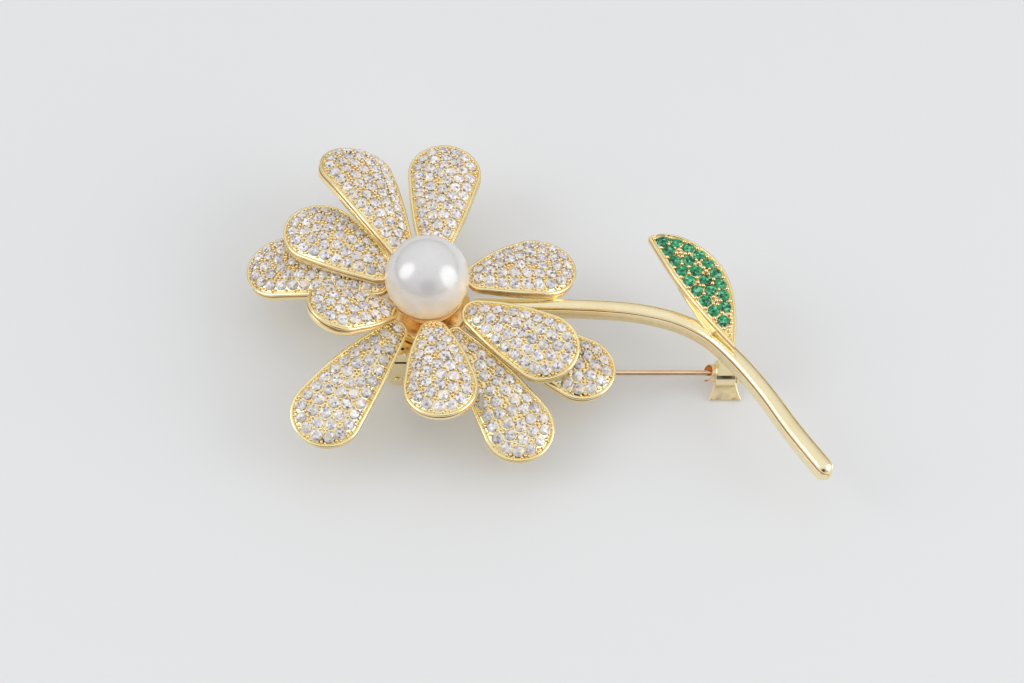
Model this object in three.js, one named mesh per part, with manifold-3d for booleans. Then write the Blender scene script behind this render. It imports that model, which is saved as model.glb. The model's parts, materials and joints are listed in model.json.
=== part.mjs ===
// A flower brooch: eleven stone-set petals in two tiers round a pearl, a curved stem with a
// stone-set leaf, and on the back a hinged pin that closes into a rotating safety catch.
// Millimetres, +Z up, lying on its back. +X runs along the pin from its hinge to its catch.
import * as THREE from 'three';
import { mergeVertices } from 'three/addons/utils/BufferGeometryUtils.js';
import Module from 'manifold-3d';

// ---- driving dimensions ----
const PEARL_RADIUS = 5;
const PEARL_CENTRE = 13.3;
const FIT_GAP = 0.12; // between pieces that are set or soldered against each other
const RUNNING_GAP = 0.07; // between pieces that turn in each other

// Petals: a curved teardrop casting with a raised rim round a bed of stones.
const TIER_LEVEL = { lower: 8.7, upper: 9.9 };
const PETAL_ROOT_RADIUS = 1.8;
const PETAL_ROOT_REACH = 4.85; // from the flower's axis to the petal's inner end
const PETAL_SIDE_BULGE = 0.3;
const PETAL_CROWN = 0.5; // how far the rim lies below the middle
const PETAL_THICKNESS = { root: 0.95, tip: 1.25, fullAt: 14 };
const RIM_WIDTH = 0.55;
const BED_DEPTH = 0.45;
const BED_GAP = 0.06;
const STONES_PROUD = 0.1;
const STONES_DOME = 0.35; // how far the middle of the stones rises above their border

// Angles are in degrees. heading is the petal's direction round the axis, rise and droop its
// pitch at the axis and at the tip, bank its tilt about its own length, and shift moves it sideways.
const PETALS = [
  {
    tier: 'lower', heading: 84.5, rise: 14, droop: -10, bank: 3, reach: 23.3, radius: 4.5,
    rootRadius: 1.65,
  },
  {
    tier: 'lower', heading: 115.2, rise: 28, droop: -20, bank: 20, reach: 25.2, radius: 4.6,
    shift: 0.35, rootRadius: 1.4,
  },
  { tier: 'lower', heading: 161, rise: 11.5, droop: -24, bank: -1, reach: 23.7, radius: 4.6 },
  {
    tier: 'lower', heading: 234, rise: 13, droop: -20, bank: -13, reach: 24, radius: 4.3,
    rootRadius: 1.5,
  },
  {
    tier: 'lower', heading: 303.4, rise: 4, droop: -22, bank: 4, reach: 24.2, radius: 4.25,
    rootRadius: 1.15,
  },
  { tier: 'lower', heading: 335.5, rise: 1, droop: -14, bank: 6, reach: 24.3, radius: 4.1 },
  {
    tier: 'upper', heading: 18.5, rise: 14.5, droop: -24, bank: -4, reach: 18.9, radius: 4.5,
    rootRadius: 2.3,
  },
  {
    tier: 'upper', heading: 142.2, rise: 12, droop: -9, bank: 4, reach: 20.3, radius: 4.5,
    shift: 1.05, rootRadius: 2,
  },
  {
    tier: 'upper', heading: 191, rise: 34, droop: 13, bank: 13, reach: 15.8, radius: 4.1,
    shift: 2.1, root: 4.5, rootRadius: 2, level: 8.5,
  },
  {
    tier: 'upper', heading: 277, rise: 19, droop: -7, bank: 1, reach: 19.05, radius: 4.35,
    rootRadius: 1.7,
  },
  { tier: 'upper', heading: 331, rise: 8.5, droop: -10.5, bank: 13, reach: 20, radius: 4.25 },
];

// Leaf: nearly straight on one side, a full arc on the other.
const LEAF = {
  base: [36.1, -7.9, 10.1],
  heading: 121.8,
  rise: 9,
  droop: -5,
  length: 18.6,
  belly: 5.2, // width of the full side
  bellyAt: 10.6, // where it is widest, from the base
  back: 0.85, // width of the straight side
  thickness: 1.2,
  crown: 0.35,
};

// Stem and leaf stalk: bars with a flat back, straight sides and a domed top.
const STEM_BACK = 6.45;
const STEM = {
  wall: 1.65,
  dome: 0.5,
  width: { start: 1.7, end: 2.2 },
  steps: 20,
  route: [
    [5.5, 0], [12, -0.15], [20, -0.4], [25, -0.95], [29.5, -2.2],
    [33.2, -4.4], [36.2, -7.7], [39.3, -12.2], [42.6, -18], [46.3, -23.8],
  ].map(([x, y]) => [x, y, STEM_BACK]),
};
const LEAF_STALK = {
  wall: 0.45,
  dome: 0.2,
  width: { start: 1.8, end: 0.6 },
  steps: 5,
  route: [[34.1, -4.9, 8.75], [32.2, -2.1, 8.9], [29.9, 1.5, 9.2]],
};

// Pin, hinge and catch, all on one line behind the flower and the stem.
const PIN_LINE = { y: -6.1, z: 2.2 };
const HINGE_X = -3.6;
const NEEDLE_RADIUS = 0.36;
const NEEDLE_END_X = 36.4;
const KNUCKLE = { radius: 0.95, width: 1.0 };
const RIVET_RADIUS = 0.32;
const EAR = { width: 2.3, thickness: 0.45, drop: 1.25, tallTop: 7.5 };
const CATCH = { start: 34.3, end: 36.7, bore: 0.5, tube: 1.08, ring: 1.62, opening: 62 };
const LEVER = { root: 2.7, outer: 4.1, length: 2.2, thickness: 0.5, angle: 45 };

const HUB = { radius: 5.1, back: 6.25, top: 7.55 };

const UP = new THREE.Vector3(0, 0, 1);
const radians = THREE.MathUtils.degToRad;

const gold = () => new THREE.MeshStandardMaterial({ color: 0xd9b56a, roughness: 0.25, metalness: 1 });
const clearStones = () => new THREE.MeshStandardMaterial({ color: 0xe6e4e6, roughness: 0.1, metalness: 0 });
const greenStones = () => new THREE.MeshStandardMaterial({ color: 0x1c7a46, roughness: 0.1, metalness: 0 });
const pearlLustre = () => new THREE.MeshStandardMaterial({ color: 0xf2ece6, roughness: 0.3, metalness: 0 });
const copperGold = () => new THREE.MeshStandardMaterial({ color: 0xc98f5c, roughness: 0.25, metalness: 1 });

// ---- solids joined and cut with manifold-3d ----
const wasm = await Module();
wasm.setup();

function toSolid(geometry) {
  const bare = geometry.clone();
  bare.deleteAttribute('normal');
  bare.deleteAttribute('uv');
  const merged = mergeVertices(bare, 1e-4);
  const mesh = new wasm.Mesh({
    numProp: 3,
    vertProperties: new Float32Array(merged.attributes.position.array),
    triVerts: new Uint32Array(merged.index.array),
  });
  return new wasm.Manifold(mesh);
}

function fromSolid(solid) {
  const mesh = solid.getMesh();
  const geometry = new THREE.BufferGeometry();
  const positions = new Float32Array(mesh.vertProperties);
  geometry.setAttribute('position', new THREE.BufferAttribute(positions, 3));
  geometry.setIndex(new THREE.BufferAttribute(new Uint32Array(mesh.triVerts), 1));
  geometry.computeVertexNormals();
  return geometry;
}

function box(from, to) {
  const size = to.map((value, i) => value - from[i]);
  const middle = to.map((value, i) => (value + from[i]) / 2);
  return toSolid(new THREE.BoxGeometry(...size).translate(...middle));
}

// A turned piece: the profile's [radius, height] points are turned about the X axis.
function turnedAlongX(profile, sides) {
  const points = profile.map(([radius, x]) => new THREE.Vector2(radius, x));
  return toSolid(new THREE.LatheGeometry(points, sides).rotateZ(-Math.PI / 2));
}

// ---- a closed skin built from loops of points ----
class Skin {
  constructor() {
    this.points = [];
    this.faces = [];
  }

  add(point) {
    this.points.push(point);
    return this.points.length - 1;
  }

  // Joins two loops of equal length; the skin faces left of the way from the first to the second.
  band(first, second) {
    first.forEach((corner, k) => {
      const next = (k + 1) % first.length;
      this.faces.push(corner, first[next], second[next]);
      this.faces.push(corner, second[next], second[k]);
    });
  }

  cap(loop, centre, faceBack) {
    loop.forEach((corner, k) => {
      const next = loop[(k + 1) % loop.length];
      this.faces.push(...(faceBack ? [next, corner, centre] : [corner, next, centre]));
    });
  }

  geometry() {
    const geometry = new THREE.BufferGeometry();
    const positions = this.points.flatMap((point) => point.toArray());
    geometry.setAttribute('position', new THREE.Float32BufferAttribute(positions, 3));
    geometry.setIndex(this.faces);
    geometry.computeVertexNormals();
    return geometry;
  }
}

// ---- blades: petals and leaf are both a flat outline laid on a curved surface ----
const BLADE_STEPS = 12;

// Steps along a blade, close together at its two round ends.
function bladeStations(blade, inset) {
  const from = blade.from + inset;
  const to = blade.to - inset;
  const angles = Array.from({ length: BLADE_STEPS + 1 }, (_, i) => (Math.PI * i) / BLADE_STEPS);
  return angles.map((angle) => (from + to) / 2 - ((to - from) / 2) * Math.cos(angle));
}

// The border at a height, from the inner end along the right side to the tip and back.
function bladeLoop(skin, blade, inset, height) {
  const stations = bladeStations(blade, inset);
  const point = (s, v) => skin.add(blade.place(s, v, height(s)));
  const between = stations.slice(1, -1);
  const edges = between.map((s) => [s, ...blade.edges(s, inset)]);
  const middle = (s) => blade.edges(s, inset).reduce((a, b) => a + b) / 2;
  return [
    point(stations[0], middle(stations[0])),
    ...edges.map(([s, right]) => point(s, right)),
    point(stations[BLADE_STEPS], middle(stations[BLADE_STEPS])),
    ...edges.reverse().map(([s, , left]) => point(s, left)),
  ];
}

// A curved sheet inside a loop, with points across it for each fraction from right to left.
// The dome is how far its middle rises above the loop.
function bladeSheet(skin, blade, loop, inset, height, fractions, faceBack, dome = 0) {
  const stations = bladeStations(blade, inset);
  const face = (...corners) => skin.faces.push(...(faceBack ? corners.reverse() : corners));
  const rows = [];
  for (let i = 1; i < BLADE_STEPS; i += 1) {
    const [right, left] = blade.edges(stations[i], inset);
    const inner = fractions.map((f) => {
      const swell = dome * Math.sin(Math.PI * f) * Math.sin((Math.PI * i) / BLADE_STEPS);
      return skin.add(blade.place(stations[i], right + (left - right) * f, height(stations[i]) + swell));
    });
    rows.push([loop[i], ...inner, loop[loop.length - i]]);
  }
  const last = rows.length - 1;
  for (let j = 0; j < rows[0].length - 1; j += 1) {
    face(loop[0], rows[0][j], rows[0][j + 1]);
    face(rows[last][j], loop[BLADE_STEPS], rows[last][j + 1]);
    for (let i = 0; i < last; i += 1) {
      face(rows[i][j], rows[i + 1][j], rows[i + 1][j + 1]);
      face(rows[i][j], rows[i + 1][j + 1], rows[i][j + 1]);
    }
  }
}

const COARSE = [0.5];
const FINE = [0.25, 0.5, 0.75];

// The metal of a blade: a plate with a raised rim round a sunk bed.
function bladeCasting(blade) {
  const skin = new Skin();
  const bed = () => -BED_DEPTH;
  const back = bladeLoop(skin, blade, 0, (s) => -blade.thickness(s));
  const outer = bladeLoop(skin, blade, 0, () => 0);
  const inner = bladeLoop(skin, blade, RIM_WIDTH, () => 0);
  const floor = bladeLoop(skin, blade, RIM_WIDTH, bed);
  bladeSheet(skin, blade, back, 0, (s) => -blade.thickness(s), COARSE, true);
  skin.band(back, outer);
  skin.band(outer, inner);
  skin.band(inner, floor);
  bladeSheet(skin, blade, floor, RIM_WIDTH, bed, COARSE, false);
  return skin.geometry();
}

// The stones of a blade, joined as one slab that fills the bed and stands a little proud.
function bladeStones(blade) {
  const skin = new Skin();
  const inset = RIM_WIDTH + BED_GAP;
  const under = () => BED_GAP - BED_DEPTH;
  const proud = () => STONES_PROUD;
  const bottom = bladeLoop(skin, blade, inset, under);
  const top = bladeLoop(skin, blade, inset, proud);
  bladeSheet(skin, blade, bottom, inset, under, COARSE, true);
  skin.band(bottom, top);
  bladeSheet(skin, blade, top, inset, proud, FINE, false, STONES_DOME);
  return skin.geometry();
}

// Half the width of a teardrop: a small and a large circle joined by gently bulging sides.
function teardropHalfWidth(s, small, large) {
  const slope = Math.asin((large.radius - small.radius) / (large.at - small.at));
  const start = small.at - small.radius * Math.sin(slope);
  const end = large.at - large.radius * Math.sin(slope);
  if (s <= start) return Math.sqrt(Math.max(small.radius ** 2 - (s - small.at) ** 2, 0));
  if (s >= end) return Math.sqrt(Math.max(large.radius ** 2 - (s - large.at) ** 2, 0));
  const part = (s - start) / (end - start);
  const straight = THREE.MathUtils.lerp(small.radius, large.radius, part) * Math.cos(slope);
  return straight + PETAL_SIDE_BULGE * Math.sin(Math.PI * part);
}

// Lays flat points on a surface that starts on the axis, pitches from rise to droop and banks.
function curvedPlacement({ origin, heading, rise, droop, length, bank, shift, crown, halfWidth }) {
  const angle = radians(heading);
  const radial = new THREE.Vector3(Math.cos(angle), Math.sin(angle), 0);
  const sideways = new THREE.Vector3(-Math.sin(angle), Math.cos(angle), 0);
  const pitchStart = radians(rise);
  const bend = radians(droop - rise) / length;
  return (s, v, height) => {
    const pitch = pitchStart + bend * s;
    const normal = radial.clone().multiplyScalar(-Math.sin(pitch)).addScaledVector(UP, Math.cos(pitch));
    const forward = radial.clone().multiplyScalar(Math.cos(pitch)).addScaledVector(UP, Math.sin(pitch));
    const across = sideways.clone().applyAxisAngle(forward, radians(bank));
    normal.applyAxisAngle(forward, radians(bank));
    return origin.clone()
      .addScaledVector(radial, (Math.sin(pitch) - Math.sin(pitchStart)) / bend)
      .addScaledVector(UP, (Math.cos(pitchStart) - Math.cos(pitch)) / bend)
      .addScaledVector(sideways, shift)
      .addScaledVector(across, v)
      .addScaledVector(normal, height - crown * (v / halfWidth) ** 2);
  };
}

function petalBlade({
  tier, heading, rise, droop, bank, reach, radius,
  shift = 0, root = PETAL_ROOT_REACH, rootRadius = PETAL_ROOT_RADIUS, level = TIER_LEVEL[tier],
}) {
  const small = { at: root + rootRadius, radius: rootRadius };
  const large = { at: reach - radius, radius };
  return {
    from: root,
    to: reach,
    edges(s, inset) {
      const half = teardropHalfWidth(
        s,
        { at: small.at, radius: small.radius - inset },
        { at: large.at, radius: large.radius - inset },
      );
      return [-half, half];
    },
    thickness(s) {
      const part = THREE.MathUtils.clamp((s - root) / (PETAL_THICKNESS.fullAt - root), 0, 1);
      return THREE.MathUtils.lerp(PETAL_THICKNESS.root, PETAL_THICKNESS.tip, part);
    },
    place: curvedPlacement({
      origin: new THREE.Vector3(0, 0, level),
      heading, rise, droop, bank, shift,
      length: reach,
      crown: PETAL_CROWN,
      halfWidth: radius,
    }),
  };
}

function leafBlade() {
  const { length, belly, bellyAt, back } = LEAF;
  // The full side: pointed towards the base, round towards the tip.
  const fullSide = (s) => {
    if (s < bellyAt) return belly * (1 - ((bellyAt - s) / bellyAt) ** 1.7);
    return belly * Math.sqrt(Math.max(1 - ((s - bellyAt) / (length - bellyAt)) ** 2, 0));
  };
  const straightSide = (s) => back * Math.sin((Math.PI * s) / length);
  return {
    from: 0,
    to: length,
    // Keeps an inset border inside the outline, however narrow the leaf is.
    edges(s, inset) {
      const right = -fullSide(s);
      const left = straightSide(s);
      const narrow = Math.min(inset, (left - right) * 0.45);
      return [right + narrow, left - narrow];
    },
    thickness: () => LEAF.thickness,
    place: curvedPlacement({
      origin: new THREE.Vector3(...LEAF.base),
      heading: LEAF.heading,
      rise: LEAF.rise,
      droop: LEAF.droop,
      length,
      bank: 0,
      shift: 0,
      crown: LEAF.crown,
      halfWidth: belly,
    }),
  };
}

// ---- stem and leaf stalk ----

// A bar's section, from the flat back up one side, over the dome and down the other.
function barSection(width, wall, dome) {
  const half = width / 2;
  return [
    [half, 0],
    [half, wall],
    [half * 0.55, wall + dome * 0.75],
    [0, wall + dome],
    [-half * 0.55, wall + dome * 0.75],
    [-half, wall],
    [-half, 0],
  ];
}

// A bar along its route, cut square at the start and rounded at the end.
function barGeometry({ route, width, wall, dome, steps }) {
  const line = new THREE.CatmullRomCurve3(route.map((point) => new THREE.Vector3(...point)));
  const skin = new Skin();
  const loopAt = (part, scale) => {
    const along = line.getTangentAt(part);
    const across = new THREE.Vector3(-along.y, along.x, 0).normalize();
    const localWidth = THREE.MathUtils.lerp(width.start, width.end, part) * scale;
    const rise = 0.5 + 0.5 * scale;
    return barSection(localWidth, wall, dome).map(([a, z]) => skin.add(
      line.getPointAt(part).addScaledVector(across, a).addScaledVector(UP, z * rise),
    ));
  };
  const roundEnd = width.end / 2 / line.getLength();
  const loops = [];
  for (let i = 0; i <= steps; i += 1) loops.push(loopAt((i / steps) * (1 - roundEnd), 1));
  for (const turn of [30, 60, 80]) {
    const angle = radians(turn);
    loops.push(loopAt(1 - roundEnd + roundEnd * Math.sin(angle), Math.cos(angle)));
  }
  loops.slice(1).forEach((loop, i) => skin.band(loops[i], loop));
  const capCentre = (part) => skin.add(line.getPointAt(part).addScaledVector(UP, wall / 2));
  skin.cap(loops[0], capCentre(0), true);
  skin.cap(loops.at(-1), capCentre(1), false);
  return skin.geometry();
}

// ---- pearl, its cup and the hub behind it ----
const ROUND_SIDES = 28;
const PEG = { radius: 0.45, hole: 0.55, depth: 4 };
const CUP = { wall: 0.35, rim: 10.0 };

function latheUp(profile, sides) {
  const points = profile.map(([radius, z]) => new THREE.Vector2(radius, z));
  return new THREE.LatheGeometry(points, sides).rotateX(Math.PI / 2);
}

// Points on a sphere about the pearl's centre, between two heights.
function pearlArc(radius, fromHeight, toHeight, steps) {
  const angleOf = (height) => Math.asin(THREE.MathUtils.clamp((height - PEARL_CENTRE) / radius, -1, 1));
  const first = angleOf(fromHeight);
  const last = angleOf(toHeight);
  return Array.from({ length: steps + 1 }, (_, i) => {
    const angle = THREE.MathUtils.lerp(first, last, i / steps);
    return [radius * Math.cos(angle), PEARL_CENTRE + radius * Math.sin(angle)];
  });
}

// Half-drilled from below for the cup's peg.
function pearlGeometry() {
  const mouth = PEARL_CENTRE - Math.sqrt(PEARL_RADIUS ** 2 - PEG.hole ** 2);
  const top = PEARL_CENTRE + PEARL_RADIUS;
  const holeEnd = mouth + PEG.depth;
  const skinLine = pearlArc(PEARL_RADIUS, mouth, top, 13);
  skinLine[skinLine.length - 1] = [0, top];
  return latheUp([[0, holeEnd], [PEG.hole, holeEnd], ...skinLine], ROUND_SIDES);
}

function pearlCupGeometry() {
  const inside = PEARL_RADIUS + FIT_GAP;
  const outside = inside + CUP.wall;
  const pegFoot = PEARL_CENTRE - Math.sqrt(inside ** 2 - PEG.radius ** 2);
  const pegTop = PEARL_CENTRE - PEARL_RADIUS + PEG.depth - FIT_GAP * 3;
  const outer = pearlArc(outside, PEARL_CENTRE - outside, CUP.rim, 6);
  outer[0] = [0, PEARL_CENTRE - outside];
  const inner = pearlArc(inside, CUP.rim, pegFoot, 6);
  return latheUp([...outer, ...inner, [PEG.radius, pegTop], [0, pegTop]], ROUND_SIDES);
}

// A disc that carries the cup; the petals' inner ends are soldered onto it.
function hubGeometry() {
  const chamfer = 0.4;
  return latheUp([
    [0, HUB.back],
    [HUB.radius - chamfer, HUB.back],
    [HUB.radius, HUB.back + chamfer],
    [HUB.radius, HUB.top - chamfer],
    [HUB.radius - chamfer, HUB.top],
    [0, HUB.top],
  ], ROUND_SIDES);
}

// ---- hinge, pin and catch ----
const WIRE_SIDES = 10;
const TURN_SIDES = 16;

function cylinderAlongY(radius, length, x, y, z, sides = TURN_SIDES) {
  return toSolid(new THREE.CylinderGeometry(radius, radius, length, sides).translate(x, y, z));
}

// A U of two ears on a foot that is soldered to the back of the hub.
function hingeBracketGeometry() {
  const { y, z } = PIN_LINE;
  const half = EAR.width / 2;
  const innerY = KNUCKLE.width / 2 + RUNNING_GAP;
  const outerY = innerY + EAR.thickness;
  const footTop = HUB.back - FIT_GAP;
  const footBack = footTop - 0.6;
  const ear = (side, top) => {
    const near = y + (side < 0 ? -outerY : innerY);
    const far = near + EAR.thickness;
    const plate = box([HINGE_X - half, near, z], [HINGE_X + half, far, top]);
    const round = cylinderAlongY(EAR.drop, EAR.thickness, HINGE_X, (near + far) / 2, z);
    return plate.add(round);
  };
  const foot = box([HINGE_X - half, y - outerY, footBack], [HINGE_X + half + 1.2, -1.6, footTop]);
  const hole = cylinderAlongY(RIVET_RADIUS + 0.04, 2 * outerY + 1, HINGE_X, y, z);
  return fromSolid(ear(-1, EAR.tallTop).add(ear(1, footTop)).add(foot).subtract(hole));
}

// A shank with a head at both ends, along Y.
function rivetGeometry() {
  const reach = KNUCKLE.width / 2 + RUNNING_GAP + EAR.thickness + 0.03;
  const head = { radius: 0.55, height: 0.22 };
  const points = [
    [0, -reach - head.height],
    [head.radius * 0.7, -reach - head.height],
    [head.radius, -reach],
    [RIVET_RADIUS, -reach],
    [RIVET_RADIUS, reach],
    [head.radius, reach],
    [head.radius * 0.7, reach + head.height],
    [0, reach + head.height],
  ].map(([radius, y]) => new THREE.Vector2(radius, y));
  return new THREE.LatheGeometry(points, TURN_SIDES).translate(HINGE_X, PIN_LINE.y, PIN_LINE.z);
}

// The pin's flat eye and its sharpened wire.
function needleGeometry() {
  const { y, z } = PIN_LINE;
  const taper = 4;
  const wire = turnedAlongX([
    [0, HINGE_X + 0.5],
    [NEEDLE_RADIUS, HINGE_X + 0.5],
    [NEEDLE_RADIUS, NEEDLE_END_X - taper],
    [NEEDLE_RADIUS * 0.6, NEEDLE_END_X - taper * 0.4],
    [0, NEEDLE_END_X],
  ], WIRE_SIDES).translate([0, y, z]);
  const eye = cylinderAlongY(KNUCKLE.radius, KNUCKLE.width, HINGE_X, y, z);
  const hole = cylinderAlongY(RIVET_RADIUS + RUNNING_GAP, KNUCKLE.width + 1, HINGE_X, y, z);
  return fromSolid(eye.add(wire).subtract(hole));
}

// A ring open below, on a post that is soldered to the back of the stem.
function catchRingGeometry() {
  const { y, z } = PIN_LINE;
  const inner = CATCH.tube + RUNNING_GAP;
  const start = radians(CATCH.opening - 90);
  const finish = radians(270 - CATCH.opening);
  const outline = new THREE.Shape();
  outline.absarc(0, 0, CATCH.ring, start, finish, false);
  outline.absarc(0, 0, inner, finish, start, true);
  outline.closePath();
  const length = CATCH.end - CATCH.start;
  const extrusion = { depth: length, bevelEnabled: false, curveSegments: 14 };
  const ring = new THREE.ExtrudeGeometry(outline, extrusion);
  ring.rotateX(Math.PI / 2).rotateZ(Math.PI / 2).translate(CATCH.start, y, z);
  const postBottom = z + inner + 0.15;
  const post = box(
    [CATCH.start + 0.2, y - 1.3, postBottom],
    [CATCH.end - 0.2, y + 0.6, STEM_BACK - FIT_GAP],
  );
  return fromSolid(toSolid(ring).add(post));
}

// The turning sleeve: a slotted tube with a collar, a slanted mouth and a thumb lever.
function catchSleeveGeometry() {
  const { y, z } = PIN_LINE;
  const collar = { radius: 1.22, gap: 0.08, width: 0.3 };
  const left = CATCH.start - collar.gap;
  const right = CATCH.end + collar.gap;
  const mouth = left - 1.35;
  const body = turnedAlongX([
    [0, mouth],
    [CATCH.tube, mouth],
    [CATCH.tube, right],
    [collar.radius, right],
    [collar.radius, right + collar.width],
    [0, right + collar.width],
  ], TURN_SIDES);
  const bore = turnedAlongX([
    [0, mouth - 1],
    [CATCH.tube * 0.8, mouth - 1],
    [CATCH.tube * 0.8, mouth + 0.5],
    [CATCH.bore, mouth + 1.5],
    [CATCH.bore, right + 1],
    [0, right + 1],
  ], TURN_SIDES);
  const slot = box([mouth - 1, -CATCH.bore * 0.9, -CATCH.ring - 1], [right + 1, CATCH.bore * 0.9, 0]);
  const slant = box([-2, -3, -3], [0, 3, 3]).rotate([0, 37, 12]).translate([mouth + 0.85, 0, 0]);
  const sleeve = body.add(leverSolid()).subtract(bore).subtract(slot).subtract(slant);
  return fromSolid(sleeve.translate([0, y, z]));
}

// A flared tab with hollowed sides, pointing away from the slot.
function leverSolid() {
  const middle = (CATCH.start + CATCH.end) / 2;
  const inner = CATCH.tube * 0.88;
  const outer = CATCH.tube + LEVER.length;
  const waist = (LEVER.root * 0.6 + LEVER.outer * 0.4) / 2;
  const outline = new THREE.Shape();
  outline.moveTo(-LEVER.root / 2, inner);
  outline.quadraticCurveTo(-waist, (inner + outer) / 2, -LEVER.outer / 2, outer);
  outline.lineTo(LEVER.outer / 2, outer);
  outline.quadraticCurveTo(waist, (inner + outer) / 2, LEVER.root / 2, inner);
  outline.closePath();
  const extrusion = { depth: LEVER.thickness, bevelEnabled: false, curveSegments: 6 };
  const tab = new THREE.ExtrudeGeometry(outline, extrusion);
  tab.translate(0, 0, -LEVER.thickness / 2);
  tab.rotateX(radians(180 + LEVER.angle)).translate(middle, 0, 0);
  return toSolid(tab);
}

// ---- assembly ----
const flower = new THREE.Group();

function addPiece(name, geometry, material) {
  const mesh = new THREE.Mesh(geometry, material);
  mesh.name = name;
  flower.add(mesh);
}

const counts = { lower: 0, upper: 0 };
for (const petal of PETALS) {
  counts[petal.tier] += 1;
  const name = `${petal.tier}_petal_${counts[petal.tier]}`;
  const blade = petalBlade(petal);
  addPiece(name, bladeCasting(blade), gold());
  addPiece(`${name}_stones`, bladeStones(blade), clearStones());
}
addPiece('leaf', bladeCasting(leafBlade()), gold());
addPiece('leaf_stones', bladeStones(leafBlade()), greenStones());
addPiece('leaf_stalk', barGeometry(LEAF_STALK), gold());
addPiece('stem', barGeometry(STEM), gold());
addPiece('hub', hubGeometry(), gold());
addPiece('pearl_cup', pearlCupGeometry(), gold());
addPiece('pearl', pearlGeometry(), pearlLustre());
addPiece('hinge_bracket', hingeBracketGeometry(), gold());
addPiece('hinge_rivet', rivetGeometry(), gold());
addPiece('pin_needle', needleGeometry(), copperGold());
addPiece('catch_ring', catchRingGeometry(), gold());
addPiece('catch_sleeve', catchSleeveGeometry(), gold());

// The origin is the middle of the footprint, on the surface that the brooch lies on.
const extent = new THREE.Box3().setFromObject(flower, true);
const footprint = extent.getCenter(new THREE.Vector3());
flower.position.set(-footprint.x, -footprint.y, -extent.min.z);

const brooch = new THREE.Group();
brooch.add(flower);

export default brooch;
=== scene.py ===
"""The looks of the flower brooch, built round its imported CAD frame.

Every piece is made in flower millimetres: x and y from the flower's axis, z from the
level that the design heights are counted from. place_mesh() turns them into the frame's metres.
"""

import json
import math

import bmesh
import bpy
import numpy as np
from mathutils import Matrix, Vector


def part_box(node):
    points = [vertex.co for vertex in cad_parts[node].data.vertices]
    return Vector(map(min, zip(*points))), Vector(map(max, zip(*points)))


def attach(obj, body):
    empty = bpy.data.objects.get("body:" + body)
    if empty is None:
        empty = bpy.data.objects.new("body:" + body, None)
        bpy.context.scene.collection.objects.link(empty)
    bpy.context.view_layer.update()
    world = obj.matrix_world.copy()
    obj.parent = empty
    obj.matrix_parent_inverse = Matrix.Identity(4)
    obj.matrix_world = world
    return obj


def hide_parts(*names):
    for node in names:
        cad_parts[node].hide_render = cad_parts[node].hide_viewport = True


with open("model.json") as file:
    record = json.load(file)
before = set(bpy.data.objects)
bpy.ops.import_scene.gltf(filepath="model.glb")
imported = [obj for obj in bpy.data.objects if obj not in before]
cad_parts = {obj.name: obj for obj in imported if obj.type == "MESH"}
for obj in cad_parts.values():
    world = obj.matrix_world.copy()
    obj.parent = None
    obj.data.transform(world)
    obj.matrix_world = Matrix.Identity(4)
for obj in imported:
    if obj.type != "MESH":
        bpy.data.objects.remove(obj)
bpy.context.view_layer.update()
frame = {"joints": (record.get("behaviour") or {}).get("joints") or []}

# ---- what the frame gives ----
MM = 0.001
UP = np.array([0.0, 0.0, 1.0])
PEARL_HEIGHT = 13.3  # the pearl's centre, in design heights


def frame_box(node):
    """Lowest and highest corner of a CAD node, in the frame's millimetres."""
    low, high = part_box(node)
    return np.array(low) / MM, np.array(high) / MM


pearl_low, pearl_high = frame_box("pearl")
PEARL_RADIUS = (pearl_high[0] - pearl_low[0]) / 2
FLOWER_ORIGIN = (pearl_low + pearl_high) / 2
FLOWER_ORIGIN[2] = pearl_high[2] - PEARL_RADIUS - PEARL_HEIGHT


def local_box(node):
    """A CAD node's box in flower millimetres."""
    low, high = frame_box(node)
    return low - FLOWER_ORIGIN, high - FLOWER_ORIGIN


def joint_point(name):
    """Where a joint turns, in flower millimetres."""
    joint = next(j for j in frame["joints"] if j["name"] == name)
    return np.array(joint["pos_m"]) / MM - FLOWER_ORIGIN


# ---- the design's dimensions, the same as the CAD part's ----
TIER_LEVEL = {"lower": 8.7, "upper": 9.9}
PETAL_ROOT_RADIUS = 1.8
PETAL_ROOT_REACH = 4.85
PETAL_SIDE_BULGE = 0.3
PETAL_CROWN = 0.5
PETAL_THICKNESS = {"root": 0.95, "tip": 1.25, "full_at": 14}
PETALS = [
    dict(tier="lower", heading=84.5, rise=14, droop=-10, bank=3, reach=23.3, radius=4.5, root_radius=1.65),
    dict(
        tier="lower", heading=115.2, rise=28, droop=-20, bank=20, reach=25.2, radius=4.6,
        shift=0.35, root_radius=1.4,
    ),
    dict(tier="lower", heading=161, rise=11.5, droop=-24, bank=-1, reach=23.7, radius=4.6),
    dict(tier="lower", heading=234, rise=13, droop=-20, bank=-13, reach=24, radius=4.3, root_radius=1.5),
    dict(tier="lower", heading=303.4, rise=4, droop=-22, bank=4, reach=24.2, radius=4.25, root_radius=1.15),
    dict(tier="lower", heading=335.5, rise=1, droop=-14, bank=6, reach=24.3, radius=4.1),
    dict(tier="upper", heading=18.5, rise=14.5, droop=-24, bank=-4, reach=18.9, radius=4.5, root_radius=2.3),
    dict(
        tier="upper", heading=142.2, rise=12, droop=-9, bank=4, reach=20.3, radius=4.5,
        shift=1.05, root_radius=2,
    ),
    dict(
        tier="upper", heading=191, rise=34, droop=13, bank=13, reach=15.8, radius=4.1, shift=2.1,
        root=4.5, root_radius=2, level=8.5,
    ),
    dict(tier="upper", heading=277, rise=19, droop=-7, bank=1, reach=19.05, radius=4.35, root_radius=1.7),
    dict(tier="upper", heading=331, rise=8.5, droop=-10.5, bank=13, reach=20, radius=4.25),
]
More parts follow.
